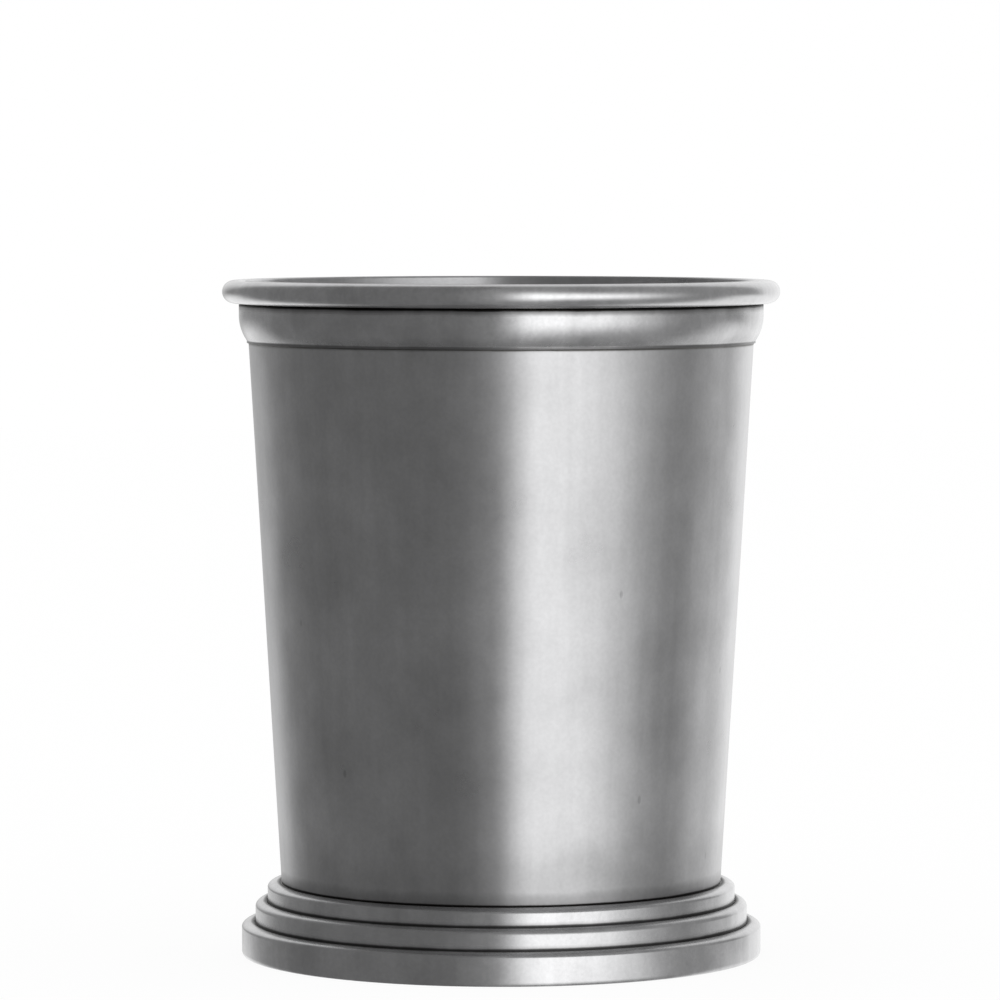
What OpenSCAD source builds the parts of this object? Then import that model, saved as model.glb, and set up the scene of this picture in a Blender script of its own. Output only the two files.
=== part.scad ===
// Footed metal cup: a tapered spun wall with a round wire and a moulded band at the rim,
// standing in a hollow three-tier foot that a pressed plate closes from below.
// Millimetres, +Z up. The origin is the centre of the ring that the foot stands on.

/* [Cup] */
// Overall height, from the table to the lip
cup_h = 108; // [80:1:150]
// Outside diameter of the wall at the lip
lip_d = 81.9; // [70:0.1:100]
// Outside diameter of the wall where it enters the foot
waist_d = 70.5; // [60:0.5:85]
// Thickness of the cup's sheet
wall_t = 0.8; // [0.5:0.05:1.4]
// Inside radius of the bend from wall to floor
heel_r = 2; // [1:0.1:4]
// Depth that the wall goes down into the foot's socket
socket_depth = 2.8; // [2:0.1:4]

/* [Rim wire] */
// Diameter of the round wire at the lip
wire_d = 3.7; // [2.4:0.1:5]
// Running of solder between the wire and the wall
wire_gap = 0.05; // [0.02:0.01:0.1]
// Depth of the solder's surface under the lip
wire_solder_drop = 0.45; // [0.3:0.05:0.8]
// Width of the solder where it meets the band
wire_solder_w = 0.65; // [0.4:0.05:0.8]

/* [Rim band] */
// Height of the moulded band
band_h = 6.25; // [5.6:0.05:9]
// Thickness of the band at its top
band_t = 1.2; // [0.9:0.05:2]
// Thickness of the thin lip at the band's foot
band_lip_t = 0.3; // [0.2:0.02:0.5]
// Height of that lip
band_lip_h = 0.2; // [0.1:0.05:0.5]
// Height of the ogee between the band's face and its lip
ogee_h = 4.2; // [3:0.1:4.6]
// Rounding of the band's top edge
band_edge_r = 0.25; // [0.1:0.05:0.4]

/* [Foot] */
// Height of the top tier
tier1_h = 2.95; // [2.6:0.05:4]
// Height of the middle tier
tier2_h = 3.4; // [2.8:0.05:4.5]
// Height of the bottom tier
tier3_h = 5.2; // [4.6:0.1:7]
// Width of the step out to the top tier
step1_w = 2.25; // [2:0.05:3]
// Width of the step out to the middle tier
step2_w = 1.95; // [1.6:0.05:3]
// Width of the step out to the bottom tier
step3_w = 2.2; // [1.6:0.05:3]
// Height of the top tier's round shoulder
shoulder1_h = 2.1; // [1.4:0.1:2.5]
// Height of the middle tier's round shoulder
shoulder2_h = 2.4; // [1.4:0.1:2.7]
// Height of the bottom tier's round shoulder
shoulder3_h = 2.8; // [1.6:0.1:3.2]
// Thickness of the foot's sheet
foot_t = 0.8; // [0.5:0.05:1]
// Width of the sunk line where each tier meets the wall above it
line_w = 0.45; // [0.3:0.05:0.6]
// Depth of that line
line_d = 0.35; // [0.2:0.05:0.5]
// Width of the flange under the cup's floor
seat_w = 3.2; // [2:0.1:6]
// Inside radius of the bend from the socket's wall to that flange
seat_bend_r = 1.2; // [0.6:0.1:1.8]

/* [Foot hem] */
// Width of the channel that the foot stands on, over both walls
hem_w = 3.2; // [2.8:0.1:5]
// Height of the rounding at the foot's lower outer edge
edge_h = 0.7; // [0.6:0.1:1.4]
// Width of that rounding
edge_w = 0.3; // [0.2:0.05:0.7]
// Rounding of the hem's inner edge
hem_edge_r = 0.3; // [0.15:0.05:0.45]
// Width of the ledge that stops the base plate
ledge_w = 1.3; // [0.8:0.1:2.5]

/* [Base plate] */
// Thickness of the plate
plate_t = 0.8; // [0.5:0.05:1]
// Height of the plate above the table
plate_recess = 1.6; // [1.2:0.1:1.8]
// Gap all round the plate, filled at its lower edge
plate_gap = 0.05; // [0.02:0.01:0.15]
// Width of the plate's flat border
plate_border_w = 9; // [5:0.5:16]
// Rise of the pressed panel inside that border
panel_rise = 0.9; // [0.4:0.1:1.6]
// Width of the slope up to the panel
panel_slope_w = 2.4; // [1.8:0.1:5]

/* [Solder] */
// Leg of the fillet round the base plate
plate_fillet = 0.6; // [0.3:0.05:0.9]

/* [Hidden] */
$fn = 160;

// Straight pieces in each drawn arc
arc_steps = 12;
// The solder fills the foot's sunk line up to this share of its arc
groove_fill_share = 0.5;
// The convex part of the ogee, as a share of both its radii
ogee_convex_share = 0.85;

wire_r = wire_d / 2;
foot_h = tier1_h + tier2_h + tier3_h;
waist_r = waist_d / 2;

// Slope of the wall, outwards for each unit up
taper = (lip_d / 2 - waist_r) / (cup_h - foot_h);
lean = atan(taper);

// Radius of the wall's outside at a height
function wall_r(z) = waist_r + (z - foot_h) * taper;

// Points of an arc with the radii rx and ry about c
function arc(c, rx, ry, from, to) =
    [for (i = [0 : arc_steps])
        let (a = from + (to - from) * i / arc_steps)
        [c[0] + rx * cos(a), c[1] + ry * sin(a)]];

// Cup body
floor_z = foot_h - socket_depth;
heel_out_r = heel_r + wall_t;
heel_c = [wall_r(floor_z + heel_out_r) - heel_out_r / cos(lean), floor_z + heel_out_r];
lip_r = wall_t / 2;
lip_c = [wall_r(cup_h - lip_r) - lip_r / cos(lean), cup_h - lip_r];

// Rim wire
wire_c_z = cup_h - wire_r;
wire_c_r = wall_r(wire_c_z) + (wire_r + wire_gap) / cos(lean);

// Rim band
band_top_z = cup_h - wire_d - wire_gap;
band_foot_z = band_top_z - band_h;
band_face_r = wall_r(band_top_z) + band_t;
band_lip_r = wall_r(band_foot_z) + band_lip_t;
ogee_foot_z = band_foot_z + band_lip_h;
ogee_top_z = ogee_foot_z + ogee_h;
ogee_angle = 2 * atan((band_face_r - band_lip_r) / ogee_h);
ogee_radii = ogee_h / sin(ogee_angle);
ogee_convex_r = ogee_radii * ogee_convex_share;
ogee_hollow_r = ogee_radii - ogee_convex_r;

// Foot: the outside radius and the crown's height of each tier, from the top down, and the
// radius and taper of the wall above each
seam_r = wall_r(foot_h - line_d);
tier_r = [
    waist_r + step1_w,
    waist_r + step1_w + step2_w,
    waist_r + step1_w + step2_w + step3_w,
];
crown_z = [foot_h, tier2_h + tier3_h, tier3_h];
above_r = [waist_r, tier_r[0], tier_r[1]];
above_taper = [taper, 0, 0];
shoulder_h = [shoulder1_h, shoulder2_h, shoulder3_h];
seat_in_r = heel_c[0] - seat_w;
seat_c = [seam_r - seat_bend_r, floor_z + seat_bend_r];

// Foot hem and base plate
hem_in_r = tier_r[2] - hem_w;
plate_top_z = plate_recess + plate_t;
plate_r = hem_in_r - plate_gap;
panel_r = plate_r - plate_border_w;

// One sunk line's outer side, from its bottom up to the crown of tier i, leaning as the
// wall above it leans
function line_side(i) =
    [for (p = arc([above_r[i] + line_w, crown_z[i] - line_d], line_w, line_d, 180, 90))
        [p[0] - (crown_z[i] - p[1]) * above_taper[i], p[1]]];

// The round shoulder of tier i, from its crown out to its face
function shoulder(i) =
    let (w = tier_r[i] - above_r[i] - line_w, h = shoulder_h[i])
    arc([tier_r[i] - w, crown_z[i] - h], w, h, 90, 0);

// The hollow side of tier i, one sheet thickness inside its shoulder
function under_shoulder(i, inner_r) =
    let (
        out_r = tier_r[i] - foot_t,
        w = min(out_r - above_r[i] - line_w, out_r - inner_r)
    )
    arc([out_r - w, crown_z[i] - shoulder_h[i]], w, shoulder_h[i] - foot_t, 0, 90);

// Outline of the spun cup: floor, heel, wall and rounded lip, all one thickness
module cup_section() {
    polygon(concat(
        [[0, floor_z]],
        arc(heel_c, heel_out_r, heel_out_r, -90, -lean),
        arc(lip_c, lip_r, lip_r, -lean, 180 - lean),
        arc(heel_c, heel_r, heel_r, -lean, -90),
        [[0, floor_z + wall_t]]
    ));
}

module rim_band_section() {
    edge_c = [band_face_r - band_edge_r, band_top_z - band_edge_r];
    polygon(concat(
        [[wall_r(band_foot_z), band_foot_z]],
        [[band_lip_r, band_foot_z]],
        arc([band_lip_r + ogee_hollow_r, ogee_foot_z],
            ogee_hollow_r, ogee_hollow_r, 180, 180 - ogee_angle),
        arc([band_face_r - ogee_convex_r, ogee_top_z],
            ogee_convex_r, ogee_convex_r, -ogee_angle, 0),
        arc(edge_c, band_edge_r, band_edge_r, 0, 90),
        [[wall_r(band_top_z), band_top_z]]
    ));
}

// Outline of the spun foot: socket for the cup, three tiers, and a hem turned in and up
// to the ledge over the base plate
module foot_section() {
    polygon(concat(
        // Outside, from the seam at the wall down to the table
        line_side(0),
        shoulder(0),
        line_side(1),
        shoulder(1),
        line_side(2),
        shoulder(2),
        arc([tier_r[2] - edge_w, edge_h], edge_w, edge_h, 0, -90),
        // Under the hem, up its inner wall, and round the ledge
        arc([hem_in_r + hem_edge_r, hem_edge_r], hem_edge_r, hem_edge_r, -90, -180),
        [
            [hem_in_r, plate_top_z],
            [hem_in_r - ledge_w, plate_top_z],
            [hem_in_r - ledge_w, plate_top_z + foot_t],
        ],
        arc([hem_in_r, plate_top_z], foot_t, foot_t, 90, 0),
        [
            [hem_in_r + foot_t, foot_t],
            [tier_r[2] - foot_t, foot_t],
        ],
        // Hollow side of the tiers, up to the socket
        under_shoulder(2, tier_r[1] - foot_t),
        [[tier_r[1] - foot_t, crown_z[2] - foot_t]],
        under_shoulder(1, tier_r[0] - foot_t),
        [[tier_r[0] - foot_t, crown_z[1] - foot_t]],
        under_shoulder(0, seam_r + foot_t),
        // Both sides of the socket and its flange
        arc(seat_c, seat_bend_r + foot_t, seat_bend_r + foot_t, 0, -90),
        [
            [seat_in_r, floor_z - foot_t],
            [seat_in_r, floor_z],
        ],
        arc(seat_c, seat_bend_r, seat_bend_r, -90, 0)
    ));
}

// Outline of the base plate: flat border, slope, and a panel pressed upwards
module base_plate_section() {
    polygon([
        [0, plate_recess + panel_rise],
        [panel_r - panel_slope_w, plate_recess + panel_rise],
        [panel_r, plate_recess],
        [plate_r, plate_recess],
        [plate_r, plate_top_z],
        [panel_r, plate_top_z],
        [panel_r - panel_slope_w, plate_top_z + panel_rise],
        [0, plate_top_z + panel_rise],
    ]);
}

module cup_body() {
    color("#8d8f90")
        rotate_extrude()
            cup_section();
}

module rim_wire() {
    color("#9a9c9d")
        rotate_extrude()
            translate([wire_c_r, wire_c_z])
                circle(r = wire_r);
}

// Solder between the wire and the wall, from just under the lip down to the band
module rim_wire_solder() {
    top_z = cup_h - wire_solder_drop;
    skirt_r = wall_r(band_top_z) + wire_solder_w;
    color("#b9b6ae")
        rotate_extrude()
            difference() {
                polygon([
                    [wall_r(band_top_z), band_top_z],
                    [skirt_r, band_top_z],
                    [skirt_r, wire_c_z],
                    [wire_c_r, wire_c_z],
                    [wire_c_r, top_z],
                    [wall_r(top_z), top_z],
                ]);
                translate([wire_c_r, wire_c_z])
                    circle(r = wire_r);
            }
}

module rim_band() {
    color("#86888a")
        rotate_extrude()
            rim_band_section();
}

// Fillet of solder under the band's lip
module rim_band_solder() {
    low_z = band_foot_z - band_lip_t;
    color("#b9b6ae")
        rotate_extrude()
            polygon(concat(
                [[wall_r(band_foot_z), band_foot_z]],
                [for (p = arc([wall_r(low_z) + band_lip_t, low_z], band_lip_t, band_lip_t, 180, 90))
                    [max(p[0], wall_r(p[1])), p[1]]]
            ));
}

module foot_shell() {
    color("#85878a")
        rotate_extrude()
            foot_section();
}

// Solder lying in the sunk line between the wall and the top tier
module foot_solder() {
    side = line_side(0);
    last = round(arc_steps * groove_fill_share);
    color("#b9b6ae")
        rotate_extrude()
            polygon(concat(
                [for (i = [0 : last]) side[i]],
                [[wall_r(side[last][1]), side[last][1]]]
            ));
}

module base_plate() {
    color("#95979a")
        rotate_extrude()
            base_plate_section();
}

// Fillet of solder in the corner between the base plate and the hem
module base_plate_solder() {
    color("#b9b6ae")
        rotate_extrude()
            polygon(concat(
                [[hem_in_r, plate_recess]],
                arc([hem_in_r - plate_fillet, plate_recess - plate_fillet],
                    plate_fillet, plate_fillet, 90, 0)
            ));
}

cup_body();
rim_wire();
rim_wire_solder();
rim_band();
rim_band_solder();
foot_shell();
foot_solder();
base_plate();
base_plate_solder();
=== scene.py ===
import math

import bmesh
import bpy
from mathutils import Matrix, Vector, noise


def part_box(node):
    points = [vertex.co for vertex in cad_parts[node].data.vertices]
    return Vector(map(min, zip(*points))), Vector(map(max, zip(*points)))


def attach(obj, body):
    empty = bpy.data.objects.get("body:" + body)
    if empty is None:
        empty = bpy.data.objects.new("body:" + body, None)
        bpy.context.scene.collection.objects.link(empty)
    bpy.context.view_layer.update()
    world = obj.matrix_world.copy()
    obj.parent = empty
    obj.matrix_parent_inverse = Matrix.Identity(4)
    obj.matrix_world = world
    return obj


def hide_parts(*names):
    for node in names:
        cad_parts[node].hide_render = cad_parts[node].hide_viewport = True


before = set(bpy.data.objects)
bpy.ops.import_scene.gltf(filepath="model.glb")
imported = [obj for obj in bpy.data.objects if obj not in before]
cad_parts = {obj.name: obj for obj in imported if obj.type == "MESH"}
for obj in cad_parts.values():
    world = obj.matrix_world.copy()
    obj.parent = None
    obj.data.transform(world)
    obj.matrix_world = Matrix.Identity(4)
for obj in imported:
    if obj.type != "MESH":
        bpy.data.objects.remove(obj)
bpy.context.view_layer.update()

# Camera: nearly a metre in front of the cup and a little above its rim, looking slightly
# down through a long lens, so that rim and foot show as flat ellipses.
mm = 0.001
quarter = math.pi / 2
picture_width_px = 1000
focal_length_px = 5840
sensor_width_mm = 36
camera_place = (-0.19 * mm, -934 * mm, 123.5 * mm)
camera_pitch = math.radians(3.11)

lens = bpy.data.cameras.new("camera")
lens.sensor_width = sensor_width_mm
lens.lens = focal_length_px / picture_width_px * sensor_width_mm
camera = bpy.data.objects.new("camera", lens)
camera.location = camera_place
camera.rotation_euler = (quarter - camera_pitch, 0, 0)
bpy.context.scene.collection.objects.link(camera)
bpy.context.scene.camera = camera
bpy.context.scene.view_settings.view_transform = "Standard"


# Studio: the cup stands on a white table before a pale backdrop, under a white ceiling that
# reaches behind it. The room in front is dim, a little lighter on the right, with one tall
# soft lamp right of the camera. Metal mirrors all this, and the rest gets plain white light.
def add(tree, kind, inputs=None, **settings):
    """Adds a shader node, sets its properties, and gives its inputs values or links."""
    node = tree.nodes.new("ShaderNode" + kind)
    for key, value in settings.items():
        setattr(node, key, value)
    for key, value in (inputs or {}).items():
        if isinstance(value, bpy.types.Node):
            value = value.outputs[0]
        if isinstance(value, bpy.types.NodeSocket):
            tree.links.new(value, node.inputs[key])
        else:
            node.inputs[key].default_value = value
    return node


def toward(bearing, rise=0):
    """Direction from the cup, by degrees round from the camera and degrees of height."""
    bearing, rise = math.radians(bearing), math.radians(rise)
    level = math.cos(rise)
    return (math.sin(bearing) * level, -math.cos(bearing) * level, math.sin(rise))


def edge(start, end):
    """Settings of a smooth step from 0 at start to 1 at end."""
    return {"From Min": start, "From Max": end, "To Min": 0, "To Max": 1}


soft = {"interpolation_type": "SMOOTHSTEP"}
white = (1, 1, 1, 1)
white_level = 1.0
room_level = 0.19
spill_level = 0.13
spill_edge = edge(math.radians(-25), math.radians(-4))

# The lamp's sides are given as angles round from the camera, its top and foot as heights
# at lamp_turn, and from there top and foot close in to the right.
lamp_level = 1.87
lamp_turn = math.radians(26)
lamp_narrowing = 0.25
lamp_inner_edge = edge(math.radians(-5), math.radians(18))
lamp_outer_edge = edge(math.radians(93), math.radians(37))
lamp_top_edge = edge(0.85, 0)
lamp_foot_edge = edge(-0.82, -0.06)

# Each large bright part of the room: the way to its middle, its soft border as the cosine
# of the angle from there, and its brightness.
right_wall = (toward(115), edge(0.17, 0.94), 0.34)
left_wall = (toward(-150), edge(0.6, 1), 0.29)
ceiling = (toward(178, 30), edge(0.75, 0.93), 0.85)
backdrop = (toward(158, 3), edge(0.86, 1), 1.0)
table = (toward(166, -18), edge(0.41, 0.82), 1.1)
table_edge = edge(0, -0.22)

world = bpy.data.worlds.new("studio")
world.use_nodes = True
bpy.context.scene.world = world
room = world.node_tree
room.nodes.clear()
direction = add(room, "TexCoord").outputs["Generated"]
across, away, upward = add(room, "SeparateXYZ", {0: direction}).outputs
closer = add(room, "Math", {0: away, 1: -1}, operation="MULTIPLY")
azimuth = add(room, "Math", {0: across, 1: closer}, operation="ARCTAN2")

beside = add(room, "Math", {0: azimuth, 1: lamp_turn}, operation="SUBTRACT")
lamp_top = add(room, "Math", {0: beside, 1: lamp_narrowing, 2: upward}, operation="MULTIPLY_ADD")
lamp_foot = add(room, "Math", {0: beside, 1: -lamp_narrowing, 2: upward}, operation="MULTIPLY_ADD")
lamp_edges = ((azimuth, lamp_inner_edge), (azimuth, lamp_outer_edge),
              (lamp_top, lamp_top_edge), (lamp_foot, lamp_foot_edge))
lamp_share = 1
for place, limits in lamp_edges:
    share = add(room, "MapRange", {"Value": place, **limits}, **soft)
    lamp_share = add(room, "Math", {0: share, 1: lamp_share}, operation="MULTIPLY")

below = add(room, "MapRange", {"Value": upward, **table_edge}, **soft)
spill = add(room, "MapRange", {"Value": azimuth, **spill_edge}, **soft)
level = add(room, "Math", {0: spill, 1: spill_level, 2: room_level}, operation="MULTIPLY_ADD")
bright_parts = ((right_wall, 1), (left_wall, 1), (ceiling, 1), (backdrop, 1), (table, below))
for (centre, limits, brightness), mask in bright_parts:
    facing = add(room, "VectorMath", {0: direction, 1: centre}, operation="DOT_PRODUCT")
    share = add(room, "MapRange", {"Value": facing.outputs["Value"], **limits}, **soft)
    share = add(room, "Math", {0: share, 1: mask}, operation="MULTIPLY")
    level = add(room, "Mix", {0: share, 2: level, 3: brightness})
level = add(room, "Mix", {0: lamp_share, 2: level, 3: lamp_level})

rays = add(room, "LightPath").outputs
glossy, transmitted = rays["Is Glossy Ray"], rays["Is Transmission Ray"]
mirrored = add(room, "Math", {0: glossy, 1: transmitted}, operation="MAXIMUM")
level = add(room, "Mix", {0: mirrored, 2: white_level, 3: level})
level = add(room, "Mix", {0: rays["Is Camera Ray"], 2: level, 3: white_level})
sky = add(room, "Background", {"Color": white, "Strength": level})
add(room, "OutputWorld", {"Surface": sky})


def linear(colour):
    """An sRGB hex colour as linear red, green, blue and alpha."""
    parts = [int(colour[i:i + 2], 16) / 255 for i in (1, 3, 5)]
    return [c / 12.92 if c <= 0.04045 else ((c + 0.055) / 1.055) ** 2.4 for c in parts] + [1]


# Floor: matt white card. Its own white lifts most of the shadow, as a lit sweep does, and
# the metal mirrors the room below it and not the card.
floor_radius = 2000 * mm
floor_sides = 96
card_colour = "#fcfcfc"
card_glow_share = 0.92

shape = bmesh.new()
bmesh.ops.create_circle(shape, cap_ends=True, segments=floor_sides, radius=floor_radius)
floor_mesh = bpy.data.meshes.new("floor")
shape.to_mesh(floor_mesh)
shape.free()
floor = bpy.data.objects.new("floor", floor_mesh)
floor.visible_glossy = False
bpy.context.scene.collection.objects.link(floor)

# Dull white paper: it has no shine. It glows only to the eye and in mirrors, so it throws
# no more light on the cup than card does.
card = bpy.data.materials.new("matt_white_card")
card.use_nodes = True
tree = card.node_tree
tree.nodes.clear()
matt = add(tree, "BsdfDiffuse", {"Color": linear(card_colour)})
glow = add(tree, "Emission", {"Color": white, "Strength": white_level})
rays = add(tree, "LightPath").outputs
glossy, transmitted = rays["Is Glossy Ray"], rays["Is Transmission Ray"]
mirrored = add(tree, "Math", {0: glossy, 1: transmitted}, operation="MAXIMUM")
seen = add(tree, "Math", {0: rays["Is Camera Ray"], 1: mirrored}, operation="MAXIMUM")
glow_share = add(tree, "Math", {0: seen, 1: card_glow_share}, operation="MULTIPLY")
surface = add(tree, "MixShader", {0: glow_share, 1: matt, 2: glow})
add(tree, "OutputMaterial", {"Surface": surface})
floor_mesh.materials.append(card)


# Cup: a tapered tumbler spun from one disc of stainless steel, so floor, heel and wall are
# one thin sheet. The lip is rounded over, and the satin was brushed round the cup on the
# lathe. Hand finishing left shallow swells and upright streaks that bend its reflections.
cup_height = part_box("cup_body")[1].z
floor_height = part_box("cup_body")[0].z
foot_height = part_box("foot_shell")[1].z
lip_radius = 40.95 * mm
waist_radius = 35.25 * mm
sheet = 0.8 * mm
heel_radius = 2 * mm
taper = (lip_radius - waist_radius) / (cup_height - foot_height)
lean = math.atan(taper)
wall_swell = {"depth": 0.04 * mm, "width": 32 * mm, "height": 45 * mm}
wall_ripple = {"depth": 0.012 * mm, "width": 6 * mm, "height": 60 * mm, "shift": 7}
still_radius = 2 * mm
row_spacing = 1.6 * mm
arc_steps = 12
sectors = 8
sector_steps = 56
merge_distance = 0.001 * mm
crease_angle = math.radians(40)


def wall_radius(height):
    """Radius of the wall's outside at a height."""
    return waist_radius + (height - foot_height) * taper


def arc(centre, radii, start, end, steps=arc_steps):
    """Points of an elliptic arc in the section, angles in radians."""
    turns = [start + (end - start) * i / steps for i in range(steps + 1)]
    return [(centre[0] + radii[0] * math.cos(a), centre[1] + radii[1] * math.sin(a)) for a in turns]


def straight(start, end, spacing):
    """Points spaced along a straight stretch of the section, both ends left out."""
    count = round(math.dist(start, end) / spacing)
    shares = [i / count for i in range(1, count)]
    way = (end[0] - start[0], end[1] - start[1])
    return [(start[0] + way[0] * share, start[1] + way[1] * share) for share in shares]


def turn(outline, closed=True):
    """Spins a section, given as points of radius and height, once round the axis."""
    shape = bmesh.new()
    points = [shape.verts.new((radius, 0, height)) for radius, height in outline]
    ends = points[1:] + (points[:1] if closed else [])
    edges = [shape.edges.new(pair) for pair in zip(points, ends)]
    about = {"axis": (0, 0, 1), "cent": (0, 0, 0), "dvec": (0, 0, 0)}
    # One sector is spun and then copied round, which is quicker
    sector_angle = 2 * math.pi / sectors
    bmesh.ops.spin(shape, geom=points + edges, angle=sector_angle, steps=sector_steps, **about)
    sector = shape.verts[:] + shape.edges[:] + shape.faces[:]
    bmesh.ops.spin(shape, geom=sector, angle=sector_angle * (sectors - 1), steps=sectors - 1,
                   use_duplicate=True, **about)
    bmesh.ops.remove_doubles(shape, verts=shape.verts, dist=merge_distance)
    bmesh.ops.recalc_face_normals(shape, faces=shape.faces)
    return shape


def swell(shape, depth, width, height, shift=0):
    """Moves a turned shape in and out by up to depth, in swells about width by height, except
    right at the axis."""
    for point in shape.verts:
        out = Vector((point.co.x, point.co.y, 0))
        if out.length > still_radius:
            around = out.normalized() * lip_radius / width
            spot = Vector((around.x + shift, around.y, point.co.z / height))
            fade = min(1, out.length / waist_radius)
            point.co += out.normalized() * depth * fade * noise.noise(spot)


def piece(name, shape, material, node):
    """Makes a finished shape an object that rides on the cup in place of its node."""
    mesh = bpy.data.meshes.new(name)
    shape.to_mesh(mesh)
    shape.free()
    mesh.shade_smooth()
    mesh.set_sharp_from_angle(angle=crease_angle)
    mesh.materials.append(material)
    made = bpy.data.objects.new(name, mesh)
    bpy.context.scene.collection.objects.link(made)
    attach(made, "root")
    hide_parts(node)


def pattern_run(width, height):
    """Scale of a pattern, from its real size across and up."""
    return (1 / width, 1 / width, 1 / height)


# The satin's lines stand 0.6 mm apart and its grain is as wide: both are drawn some ten
# times coarser than on the real cup, where they are too fine to show.
line_run = pattern_run(12 * mm, 0.6 * mm)
line_depth = 0.004 * mm
lay_strength = 0.85
# A quarter turn: the light spreads across the lines, up and down the cup
lay_turn = 0.25
grain_size = 0.6 * mm
grain_detail = 1
grain_shades = {"To Min": 0.97, "To Max": 1.03}
streak_run = pattern_run(2.5 * mm, 50 * mm)
streak_shades = {"To Min": 0.96, "To Max": 1.04}
run_noise = {"Scale": 1, "Detail": 2}
cloud_noise = {"Detail": 4, "Roughness": 0.62}
cloud_shades = {"To Min": 0.86, "To Max": 1.12}
noise_span = {"From Min": 0.3, "From Max": 0.7}
satin_spread = 0.03
nick_run = pattern_run(8 * mm, 16 * mm)
nick_edge = edge(0.055, 0.025)
nick_shade = -0.2
nick_depth = 0.012 * mm

# A dark ring, painted shade together with dirt, fades from nothing to full between these
# shares of its width, and clouds wear it away by up to a half. On a ledge it lies wider, and
# it is rough with dirt.
ring_border_share = 1.25
ring_full_share = 0.55
ring_wear_share = 0.5
ring_ledge_share = 0.6
ring_roughness = 0.35


def steel(name, tone, dark_tone, satin, cloud, rings, depth=line_depth):
    """Satin metal: clouds, upright streaks, lines round the axis, and dark rings of painted
    shade and dirt, each given as radius, height, width and strength."""
    made = bpy.data.materials.new(name)
    made.use_nodes = True
    tree = made.node_tree
    tree.nodes.clear()
    place = add(tree, "TexCoord").outputs["Object"]

    # Clouds and streaks of slightly different polish, and the grain of the satin
    clouds = add(tree, "TexNoise", {"Vector": place, "Scale": 1 / cloud, **cloud_noise})
    upright = add(tree, "Mapping", {"Vector": place, "Scale": streak_run})
    streaks = add(tree, "TexNoise", {"Vector": upright, **run_noise})
    grain = add(tree, "TexNoise",
                {"Vector": place, "Scale": 1 / grain_size, "Detail": grain_detail})
    shade = add(tree, "MapRange", {"Value": clouds, **noise_span, **cloud_shades})
    for pattern, shades in ((streaks, streak_shades), (grain, grain_shades)):
        share = add(tree, "MapRange", {"Value": pattern, **noise_span, **shades})
        shade = add(tree, "Math", {0: shade, 1: share}, operation="MULTIPLY")

    # A few small nicks, taller than wide, that come with use
    tall = add(tree, "Mapping", {"Vector": place, "Scale": nick_run})
    apart = add(tree, "TexVoronoi", {"Vector": tall, "Scale": 1}).outputs["Distance"]
    nick = add(tree, "MapRange", {"Value": apart, **nick_edge}, **soft)
    shade = add(tree, "Math", {0: nick, 1: nick_shade, 2: shade}, operation="MULTIPLY_ADD")

    # Dark rings of painted shade and dirt, each a soft spot in the section of radius and height
    flat = add(tree, "VectorMath", {0: place, 1: (1, 1, 0)}, operation="MULTIPLY")
    radius = add(tree, "VectorMath", {0: flat}, operation="LENGTH").outputs["Value"]
    height = add(tree, "SeparateXYZ", {0: place}).outputs["Z"]
    narrowed = add(tree, "Math", {0: radius, 1: ring_ledge_share}, operation="MULTIPLY")
    section = add(tree, "CombineXYZ", {"X": narrowed, "Z": height})
    dark = 0
    for ring_radius, ring_height, width, strength in rings:
        ring = (ring_radius * ring_ledge_share, 0, ring_height)
        fade = edge(ring_border_share * width, ring_full_share * width)
        away = add(tree, "VectorMath", {0: section, 1: ring}, operation="DISTANCE").outputs["Value"]
        worn = add(tree, "Math", {0: clouds, 1: ring_wear_share * width, 2: away},
                   operation="MULTIPLY_ADD")
        share = add(tree, "MapRange", {"Value": worn, **fade}, **soft)
        share = add(tree, "Math", {0: share, 1: strength}, operation="MULTIPLY")
        dark = add(tree, "Math", {0: share, 1: dark}, operation="MAXIMUM")
    tint = add(tree, "VectorMath", {0: linear(tone)[:3], "Scale": shade}, operation="SCALE")
    colour = add(tree, "Mix", {0: dark, 6: tint, 7: linear(dark_tone)}, data_type="RGBA").outputs[2]

    # Lines and nicks as relief, its height in metres, and a satin that runs round the axis
    round_run = add(tree, "Mapping", {"Vector": place, "Scale": line_run})
    lines = add(tree, "TexNoise", {"Vector": round_run, **run_noise})
    surface = add(tree, "Math", {0: lines, 1: depth}, operation="MULTIPLY")
    surface = add(tree, "Math", {0: nick, 1: -nick_depth, 2: surface}, operation="MULTIPLY_ADD")
    relief = add(tree, "Bump", {"Height": surface, "Distance": 1})
    polish = {"To Min": satin - satin_spread, "To Max": satin + satin_spread}
    rough = add(tree, "MapRange", {"Value": clouds, **noise_span, **polish})
    rough = add(tree, "Math", {0: dark, 1: ring_roughness, 2: rough}, operation="MULTIPLY_ADD")
    lay = add(tree, "Tangent", direction_type="RADIAL", axis="Z")
    metal = add(tree, "BsdfPrincipled", {
        "Base Color": colour, "Metallic": 1, "Roughness": rough, "Normal": relief,
        "Anisotropic": lay_strength, "Anisotropic Rotation": lay_turn, "Tangent": lay,
    })
    add(tree, "OutputMaterial", {"Surface": metal})
    return made


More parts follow.
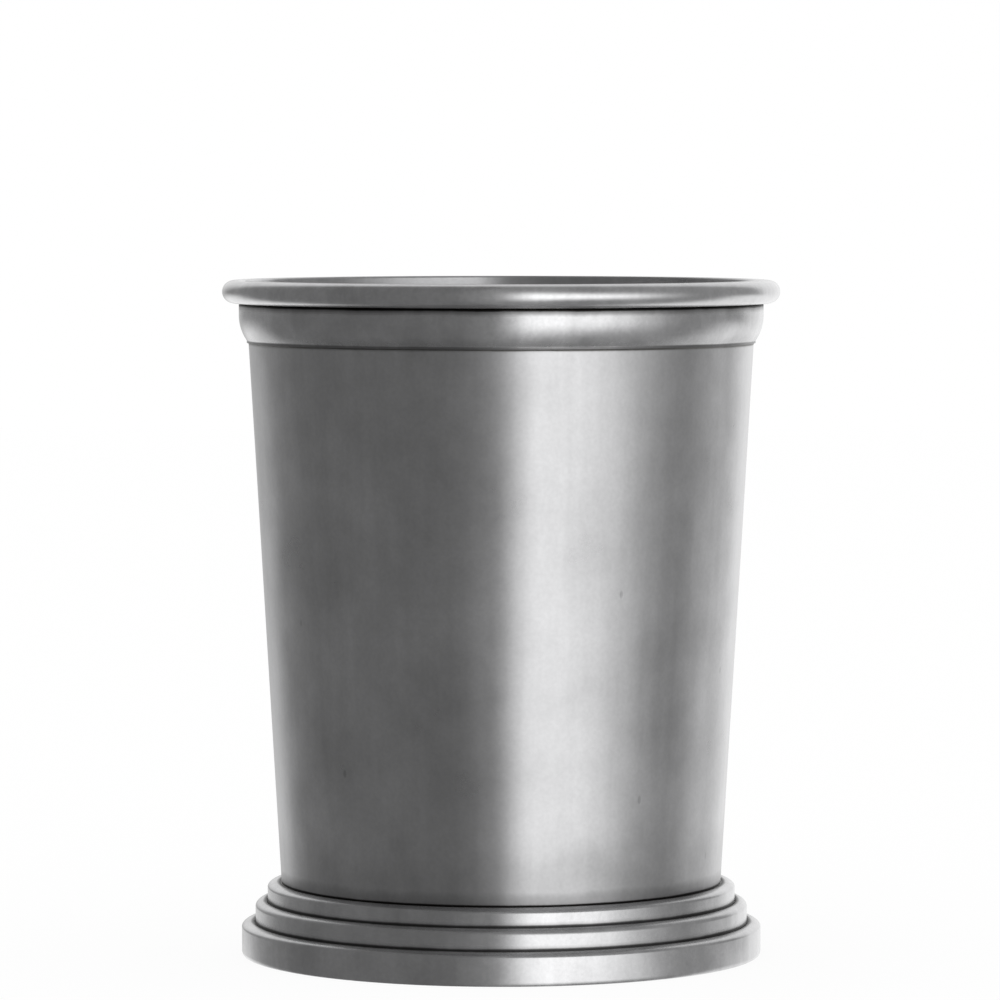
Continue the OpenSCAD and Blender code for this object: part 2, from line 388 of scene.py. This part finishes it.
band_foot_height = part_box("rim_band")[0].z
band_foot_radius = wall_radius(band_foot_height)
heel_outer = heel_radius + sheet
heel_rise = floor_height + heel_outer
heel_centre = (wall_radius(heel_rise) - heel_outer / math.cos(lean), heel_rise)
lip_bend = sheet / 2
lip_fall = cup_height - lip_bend
lip_centre = (wall_radius(lip_fall) - lip_bend / math.cos(lean), lip_fall)
outer_heel = arc(heel_centre, (heel_outer, heel_outer), -quarter, -lean)
lip = arc(lip_centre, (lip_bend, lip_bend), -lean, 2 * quarter - lean)
inner_heel = arc(heel_centre, (heel_radius, heel_radius), -lean, -quarter)
under_centre = (0, floor_height)
top_centre = (0, floor_height + sheet)
outline = ([under_centre] + straight(under_centre, outer_heel[0], row_spacing) + outer_heel
           + straight(outer_heel[-1], lip[0], row_spacing) + lip
           + straight(lip[-1], inner_heel[0], row_spacing) + inner_heel
           + straight(inner_heel[-1], top_centre, row_spacing) + [top_centre])
shape = turn(outline, closed=False)
swell(shape, **wall_swell)
swell(shape, **wall_ripple)
# Stainless sheet rubbed round with an abrasive pad: a cool mid grey whose fine lines draw
# each reflection out upright into a soft band. Towards the corner above the foot it is darker
# with painted shade, and the line at the seam is painted shade with some patina. Under the
# band the rings paint the band's shadow; the wider one has its middle outside the sheet, so
# as not to show inside.
cup_rings = [
    # painted shade with some patina, in the seam above the foot
    (waist_radius, foot_height, 0.5 * mm, 1),
    # the next two: painted shade, darker towards the foot
    (waist_radius, foot_height, 3.5 * mm, 0.3),
    (waist_radius, foot_height, 12 * mm, 0.13),
    # the next two: painted shadow under the band
    (band_foot_radius, band_foot_height, 0.25 * mm, 0.7),
    (band_foot_radius + sheet / 3, band_foot_height, 0.6 * mm, 0.35),
]
cup_steel = steel("spun_stainless_steel_satin", "#c2c2c3", "#2b2927", satin=0.3, cloud=14 * mm,
                  rings=cup_rings)
piece("spun_cup", shape, cup_steel, "cup_body")


# Rim wire: a round steel wire bent to a hoop and butted, run round the outside of the lip
# to stiffen it, then buffed, so it shines more than the wall.
wire_low, wire_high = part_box("rim_wire")
wire_radius = (wire_high.z - wire_low.z) / 2
wire_centre = (wire_high.x - wire_radius, (wire_high.z + wire_low.z) / 2)
wire_swell = {"depth": 0.03 * mm, "width": 14 * mm, "height": 20 * mm}
wire_steps = 40
worn_radius = wire_radius - wire_swell["depth"]
hoop = arc(wire_centre, (worn_radius, worn_radius), 0, 4 * quarter, wire_steps)
shape = turn(hoop[:-1])
swell(shape, **wire_swell)
# Stainless wire buffed on a cloth wheel: brighter, with tighter glints, and dark only
# underneath: painted shade under the wire, with dirt where the wheel could not reach.
# painted shade on the wire's underside, with some dirt
wire_rings = [(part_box("rim_band")[1].x, wire_low.z, 1.05 * mm, 0.9)]
wire_steel = steel("buffed_stainless_wire", "#cececf", "#262422", satin=0.22, cloud=9 * mm,
                   rings=wire_rings)
piece("rim_wire_hoop", shape, wire_steel, "rim_wire")


# Wire solder: soft solder run into the groove between the wire and the wall from above, and
# wiped smooth. It set dull grey.
solder_low, solder_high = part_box("rim_wire_solder")
skirt_width = 0.65 * mm
skirt_radius = wall_radius(solder_low.z) + skirt_width
solder_line_depth = 0.01 * mm
cradle_steps = 16
cradle_start = 2 * quarter - math.asin((solder_high.z - wire_centre[1]) / wire_radius)
cradle_end = 4 * quarter - math.acos((skirt_radius - wire_centre[0]) / wire_radius)
cradle = arc(wire_centre, (wire_radius, wire_radius), cradle_start, cradle_end, cradle_steps)
outline = [(wall_radius(solder_high.z), solder_high.z)] + cradle + [
    (skirt_radius, solder_low.z), (wall_radius(solder_low.z), solder_low.z)]
shape = turn(outline)
# Tin solder wiped with a cloth while soft: a duller and warmer grey than steel, with only
# a blurred sheen.
solder_rings = [(wall_radius(solder_high.z), solder_high.z, 0.15 * mm, 1)]
solder_grey = steel("tin_solder_wiped", "#a9a6a0", "#35312c", satin=0.42, cloud=3 * mm,
                    rings=solder_rings, depth=solder_line_depth)
piece("wire_solder_run", shape, solder_grey, "rim_wire_solder")


# Rim band: moulded strip, drawn through a die, bent to a hoop under the wire and soldered.
# It has an upright face, an ogee and a thin lip, and the lip's shadow line stays dark.
band_low, band_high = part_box("rim_band")
band_lip = 0.3 * mm
band_lip_height = 0.2 * mm
ogee_height = 4.2 * mm
# Slightly less hollow than the solid's ogee, so that no bright line runs over the lip
ogee_convex_share = 0.93
band_edge = 0.25 * mm
edge_steps = 6
face_spacing = 0.5 * mm
band_swell = {"depth": 0.03 * mm, "width": 18 * mm, "height": 30 * mm}
band_face = band_high.x
band_lip_radius = band_foot_radius + band_lip
ogee_foot = band_low.z + band_lip_height
ogee_top = ogee_foot + ogee_height
ogee_turn = 2 * math.atan((band_face - band_lip_radius) / ogee_height)
ogee_radii = ogee_height / math.sin(ogee_turn)
convex = ogee_radii * ogee_convex_share
hollow = ogee_radii - convex
hollow_centre = (band_lip_radius + hollow, ogee_foot)
corner_centre = (band_face - band_edge, band_high.z - band_edge)
hollow_arc = arc(hollow_centre, (hollow, hollow), 2 * quarter, 2 * quarter - ogee_turn)
convex_arc = arc((band_face - convex, ogee_top), (convex, convex), -ogee_turn, 0)
corner_arc = arc(corner_centre, (band_edge, band_edge), 0, quarter, edge_steps)
outline = ([(band_foot_radius, band_low.z), (band_lip_radius, band_low.z)]
           + hollow_arc + convex_arc[1:] + straight(convex_arc[-1], corner_arc[0], face_spacing)
           + corner_arc + [(wall_radius(band_high.z), band_high.z)])
shape = turn(outline)
swell(shape, **band_swell)
# Stainless strip, drawn and then rubbed along its length: a smooth satin. Under the wire it
# carries the wire's painted shadow with some patina; along the lip a painted shade dims the
# lip's reflection, and the band grows darker towards the lip.
band_rings = [
    # the next two: painted shadow of the wire, with some patina
    (band_face, band_high.z, 0.75 * mm, 1),
    (band_face, band_high.z, 1.35 * mm, 0.5),
    # painted shade on the lip, which dims its reflection
    (band_lip_radius, band_low.z + band_lip_height / 2, 0.42 * mm, 0.6),
    # darker towards the lip
    (band_lip_radius, band_low.z, 2 * mm, 0.15),
]
band_steel = steel("drawn_stainless_strip_satin", "#c6c6c7", "#262422", satin=0.22,
                   cloud=7 * mm, rings=band_rings)
piece("rim_band_strip", shape, band_steel, "rim_band")


# Band solder: the thin fillet of soft solder that crept out under the band's lip when the
# strip was sweated on. Nothing rubs it there, so it is dark with tarnish.
fillet_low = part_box("rim_band_solder")[0].z
fillet_leg = band_low.z - fillet_low
fillet_steps = 8
fillet_centre = (wall_radius(fillet_low) + fillet_leg, fillet_low)
fillet = arc(fillet_centre, (fillet_leg, fillet_leg), 2 * quarter, quarter, fillet_steps)
fillet = [(max(radius, wall_radius(height)), height) for radius, height in fillet]
shape = turn([(band_foot_radius, band_low.z)] + fillet)
# Tin solder that was never rubbed: matt and grey brown, and nearly black in the corner under
# the band, where a ring paints shade as well as tarnish.
fillet_rings = [(band_foot_radius, band_low.z, 0.3 * mm, 0.35)]
tarnished_solder = steel("tin_solder_tarnished", "#8c8b89", "#1d1b19", satin=0.45,
                         cloud=3 * mm, rings=fillet_rings)
piece("band_solder_fillet", shape, tarnished_solder, "rim_band_solder")


# Foot: one sheet of steel spun into three rounded tiers, with a socket for the cup above
# and a hem turned in and up below. A sunk line runs round at the top of each tier. Its dark
# is painted shade, with some patina left when the faces were rubbed bright again.
upper_tier_heights = (2.95 * mm, 3.4 * mm)
step_widths = (2.25 * mm, 1.95 * mm, 2.2 * mm)
# Squarer than the solid's shoulders, as on the real foot
shoulder_heights = (0.85 * mm, 1 * mm, 0.85 * mm)
sunk_width = 0.45 * mm
sunk_depth = 0.35 * mm
seat_width = 3.2 * mm
seat_bend = 1.2 * mm
hem_width = 3.2 * mm
edge_height = 0.7 * mm
edge_width = 0.3 * mm
hem_edge = 0.3 * mm
ledge_width = 1.3 * mm
plate_top = 2.4 * mm
shoulder_steps = 20
hidden_steps = 8
foot_swell = {"depth": 0.03 * mm, "width": 16 * mm, "height": 14 * mm}
tiers = [waist_radius + sum(step_widths[:i + 1]) for i in range(len(step_widths))]
crowns = [foot_height - sum(upper_tier_heights[:i]) for i in range(len(tiers))]
above = [waist_radius] + tiers[:-1]
above_tapers = [taper, 0, 0]
seam_radius = wall_radius(foot_height - sunk_depth)
seat_centre = (seam_radius - seat_bend, floor_height + seat_bend)
seat_inner = heel_centre[0] - seat_width
hem_inner = tiers[-1] - hem_width


def sunk_side(meets, crown, slope):
    """The sunk line's side, from its bottom up to the crown, against a wall of that slope."""
    centre = (meets + sunk_width, crown - sunk_depth)
    side = arc(centre, (sunk_width, sunk_depth), 2 * quarter, quarter)
    return [(radius - (crown - height) * slope, height) for radius, height in side]


# The outside, from the seam down over the tiers to the hem
outline = []
for tier, crown, meets, slope, drop in zip(tiers, crowns, above, above_tapers, shoulder_heights):
    reach = tier - meets - sunk_width
    outline += sunk_side(meets, crown, slope)
    outline += arc((tier - reach, crown - drop), (reach, drop), quarter, 0, shoulder_steps)[1:]
outline += arc((tiers[-1] - edge_width, edge_height), (edge_width, edge_height), 0, -quarter)
hem_centre = (hem_inner + hem_edge, hem_edge)
outline += arc(hem_centre, (hem_edge, hem_edge), -quarter, -2 * quarter, edge_steps)

# The plate's ledge, and the inside back up under the tiers to the seat
outline += [(hem_inner, plate_top), (hem_inner - ledge_width, plate_top),
            (hem_inner - ledge_width, plate_top + sheet)]
outline += arc((hem_inner, plate_top), (sheet, sheet), quarter, 0, hidden_steps)
outline += [(hem_inner + sheet, sheet), (tiers[-1] - sheet, sheet)]
inner_sides = (tiers[1] - sheet, tiers[0] - sheet, seam_radius + sheet)
for i, inner in zip((2, 1, 0), inner_sides):
    outer = tiers[i] - sheet
    reach = min(outer - above[i] - sunk_width, outer - inner)
    shoulder_centre = (outer - reach, crowns[i] - shoulder_heights[i])
    shoulder = (reach, shoulder_heights[i] - sheet)
    outline += arc(shoulder_centre, shoulder, 0, quarter, hidden_steps)
    if i:
        outline.append((inner, crowns[i] - sheet))
outline += arc(seat_centre, (seat_bend + sheet, seat_bend + sheet), 0, -quarter)
outline += [(seat_inner, floor_height - sheet), (seat_inner, floor_height)]
outline += arc(seat_centre, (seat_bend, seat_bend), -quarter, 0)
shape = turn(outline)
swell(shape, **foot_swell)
# Stainless sheet, spun over a chuck and rubbed on the lathe: finer than the wall, so each
# rounded tier carries a bright streak, cut off by the dark line above it. The rings paint that
# line as shade with some patina, and a fainter, wider painted shade round it.
# painted shade in the sunk lines with some patina, and a wider, fainter painted shade
foot_rings = [(meets, crown, width, strength)
              for width, strength in ((0.6 * mm, 0.86), (1 * mm, 0.2))
              for meets, crown in zip(above, crowns)]
foot_steel = steel("spun_stainless_foot_satin", "#c8c8c9", "#211f1d", satin=0.24, cloud=9 * mm,
                   rings=foot_rings)
piece("stepped_foot", shape, foot_steel, "foot_shell")


# Foot solder: soft solder left in the lower half of the sunk line between wall and foot,
# where it holds the cup in its socket. It is near black with age.
solder_share = 0.5
side = sunk_side(waist_radius, foot_height, taper)[:round(arc_steps * solder_share) + 1]
shape = turn(side + [(wall_radius(side[-1][1]), side[-1][1])])
piece("foot_seam_solder", shape, tarnished_solder, "foot_solder")


# Base plate: a disc of the same steel, pressed up in the middle to stiffen it, dropped in
# against the foot's ledge. It was faced on the lathe, so its lines are rings.
plate_low, plate_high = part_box("base_plate")
plate_border = 9 * mm
panel_rise = 0.9 * mm
panel_slope = 2.4 * mm
plate_radius = plate_high.x
panel_edge = plate_radius - plate_border
panel_flat = panel_edge - panel_slope
under = [(0, plate_low.z + panel_rise), (panel_flat, plate_low.z + panel_rise),
         (panel_edge, plate_low.z), (plate_radius, plate_low.z)]
over = [(radius, height + sheet) for radius, height in reversed(under)]
shape = turn(under + over, closed=False)
# Stainless disc cut with a facing tool: its rings throw the light out in a fan, as on a
# pan's base, and it's duller than the parts that hands rub.
plate_rings = [(plate_radius, plate_low.z, 0.6 * mm, 1)]
plate_steel = steel("faced_stainless_disc", "#bebebf", "#2a2826", satin=0.34, cloud=12 * mm,
                    rings=plate_rings)
piece("pressed_base_disc", shape, plate_steel, "base_plate")


# Plate solder: the fillet of soft solder run round the disc from below, where it meets the
# foot's hem. It was wiped as the wire's was, and closes the foot.
plate_fillet = 0.6 * mm
fillet_centre = (hem_inner - plate_fillet, plate_low.z - plate_fillet)
fillet = arc(fillet_centre, (plate_fillet, plate_fillet), quarter, 0, fillet_steps)
shape = turn([(hem_inner, plate_low.z)] + fillet)
piece("plate_solder_fillet", shape, solder_grey, "base_plate_solder")
